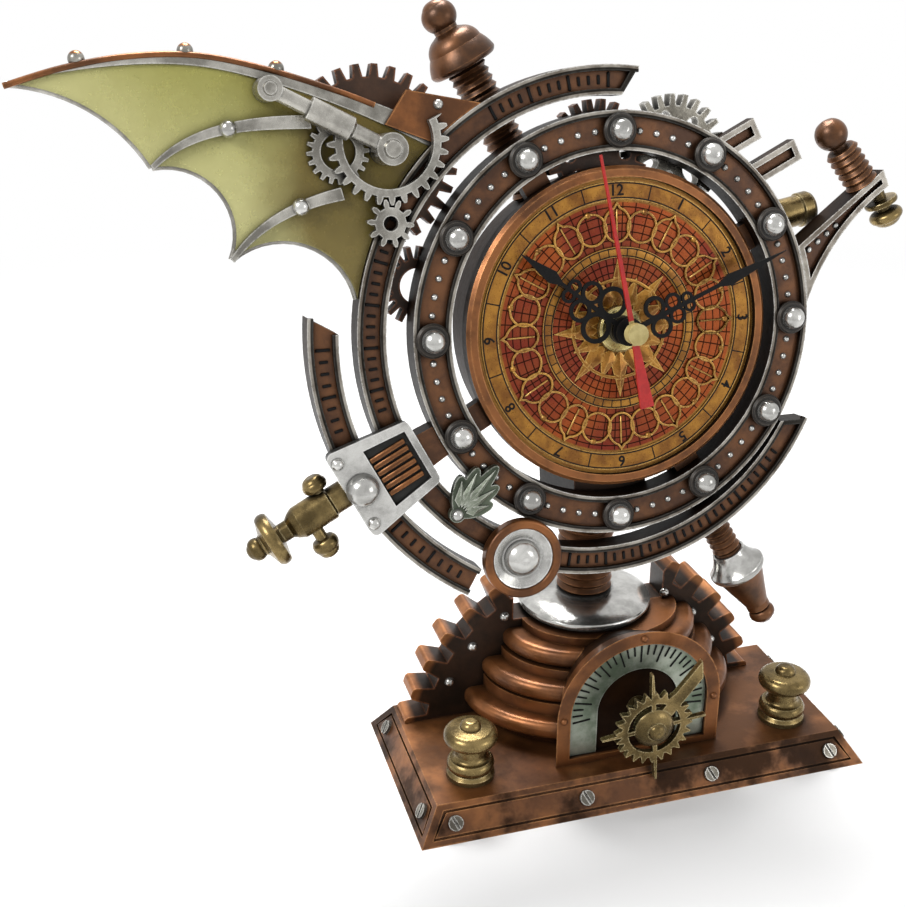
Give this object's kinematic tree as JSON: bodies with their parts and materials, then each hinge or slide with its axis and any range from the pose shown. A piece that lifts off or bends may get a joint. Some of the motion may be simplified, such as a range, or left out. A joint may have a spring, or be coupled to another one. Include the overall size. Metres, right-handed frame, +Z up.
{
  "type": "winged mantel clock",
  "caption": "Ornamental mantel clock with a wing, riveted bands and gears around its dial, standing on a gauge-fronted plinth; hands turn over a quartz movement.",
  "frame": {"origin": "middle of the plinth's underside", "axes": "+Z up, +X to the right seen from the front, -Y to the front"},
  "size_m": [0.2544, 0.0775, 0.2329],
  "materials": {
    "bronze_paint": "satin",
    "dark_bronze": "satin",
    "copper_paint": "satin",
    "brown_channel": "satin",
    "pewter": "satin",
    "green_pewter": "satin",
    "brass_paint": "satin",
    "membrane": "satin",
    "dial_gold": "satin",
    "nut_brass": "satin",
    "black_plastic": "matte",
    "wheel_plastic": "satin",
    "magnet": "satin",
    "coil_wire": "satin",
    "board_green": "gloss",
    "battery_jacket": "satin",
    "hand_black": "satin",
    "hand_red": "satin"
  },
  "bodies": {
    "clock": {"plinth": "bronze_paint", "gear_arch": "dark_bronze", "head_bracket": "dark_bronze", "bolt_washers": "dark_bronze", "back_gears": "dark_bronze", "gauge_housing": "copper_paint", "ribbed_body": "copper_paint", "post": "copper_paint", "boss_ring": "copper_paint", "upper_finial": "copper_paint", "lower_finial": "copper_paint", "arm_screw": "copper_paint", "wing_root": "copper_paint", "dial_drum": "copper_paint", "bolt_ring": "brown_channel", "main_band": "brown_channel", "outer_arcs": "brown_channel", "arm": "brown_channel", "vanes": "brown_channel", "slotted_screws": "pewter", "collar": "pewter", "bolt_domes": "pewter", "junction_plate": "pewter", "boss_dome": "pewter", "cone_nut": "pewter", "gear_large": "pewter", "gear_small": "pewter", "gear_mid": "pewter", "wing_spar": "pewter", "wing_fingers": "pewter", "strut": "pewter", "small_rivets": "pewter", "gauge_scale": "green_pewter", "leaf_spray": "green_pewter", "back_gear_right": "green_pewter", "base_knobs": "brass_paint", "pointer_wheel": "brass_paint", "taps": "brass_paint", "arm_thumbnut": "brass_paint", "barrel": "brass_paint", "wing_membrane": "membrane", "dial_plate": "dial_gold", "hand_nut": "nut_brass", "movement_case": "black_plastic", "movement_cover": "black_plastic", "coil": "coil_wire", "circuit_board": "board_green"},
    "second_hand": {"second_hand": "hand_red", "second_wheel": "wheel_plastic"},
    "third_wheel": {"third_wheel": "wheel_plastic"},
    "centre_wheel": {"centre_wheel": "wheel_plastic"},
    "intermediate_wheel": {"intermediate_wheel": "wheel_plastic"},
    "rotor": {"rotor": "magnet"},
    "minute_hand": {"minute_hand": "hand_black", "cannon_pinion": "nut_brass"},
    "minute_wheel": {"minute_wheel": "wheel_plastic"},
    "hour_hand": {"hour_hand": "hand_black", "hour_wheel": "wheel_plastic"},
    "set_knob": {"set_knob": "black_plastic"},
    "battery": {"battery": "battery_jacket"}
  },
  "joints": [
    {"name": "second_turn", "type": "hinge", "parent": "clock", "child": "second_hand", "pos_m": [-0.0045, 0.004, 0.1434], "axis": [0, 0.9848, -0.1736], "continuous": true},
    {"name": "third_turn", "type": "hinge", "parent": "clock", "child": "third_wheel", "pos_m": [-0.01481, 0.00503, 0.14926], "axis": [0, 0.9848, -0.1736], "continuous": true},
    {"name": "centre_turn", "type": "hinge", "parent": "clock", "child": "centre_wheel", "pos_m": [-0.0045, 0.004, 0.1434], "axis": [0, 0.9848, -0.1736], "continuous": true},
    {"name": "intermediate_turn", "type": "hinge", "parent": "clock", "child": "intermediate_wheel", "pos_m": [-0.00365, 0.0057, 0.15301], "axis": [0, 0.9848, -0.1736], "continuous": true},
    {"name": "rotor_turn", "type": "hinge", "parent": "clock", "child": "rotor", "pos_m": [-0.00005, 0.00678, 0.15915], "axis": [0, 0.9848, -0.1736], "continuous": true},
    {"name": "minute_turn", "type": "hinge", "parent": "clock", "child": "minute_hand", "pos_m": [-0.0045, 0.004, 0.1434], "axis": [0, 0.9848, -0.1736], "continuous": true},
    {"name": "minute_wheel_turn", "type": "hinge", "parent": "clock", "child": "minute_wheel", "pos_m": [0.0049, 0.00459, 0.14677], "axis": [0, 0.9848, -0.1736], "continuous": true},
    {"name": "hour_turn", "type": "hinge", "parent": "clock", "child": "hour_hand", "pos_m": [-0.0045, 0.004, 0.1434], "axis": [0, 0.9848, -0.1736], "continuous": true},
    {"name": "set_turn", "type": "hinge", "parent": "clock", "child": "set_knob", "pos_m": [0.01456, 0.00414, 0.14422], "axis": [0, 0.9848, -0.1736], "continuous": true},
    {"name": "battery_slide", "type": "slide", "parent": "clock", "child": "battery", "axis": [0, 0.9848, -0.1736], "range_m": [0, 0.025]}
  ],
  "couplings": [
    {"joint": "third_turn", "follows": "second_turn", "ratio": -0.13333},
    {"joint": "centre_turn", "follows": "second_turn", "ratio": 0.016667},
    {"joint": "intermediate_turn", "follows": "second_turn", "ratio": -6},
    {"joint": "rotor_turn", "follows": "second_turn", "ratio": 30},
    {"joint": "minute_wheel_turn", "follows": "minute_turn", "ratio": -0.33333},
    {"joint": "hour_turn", "follows": "minute_turn", "ratio": 0.083333},
    {"joint": "set_turn", "follows": "minute_turn", "ratio": 1}
  ]
}
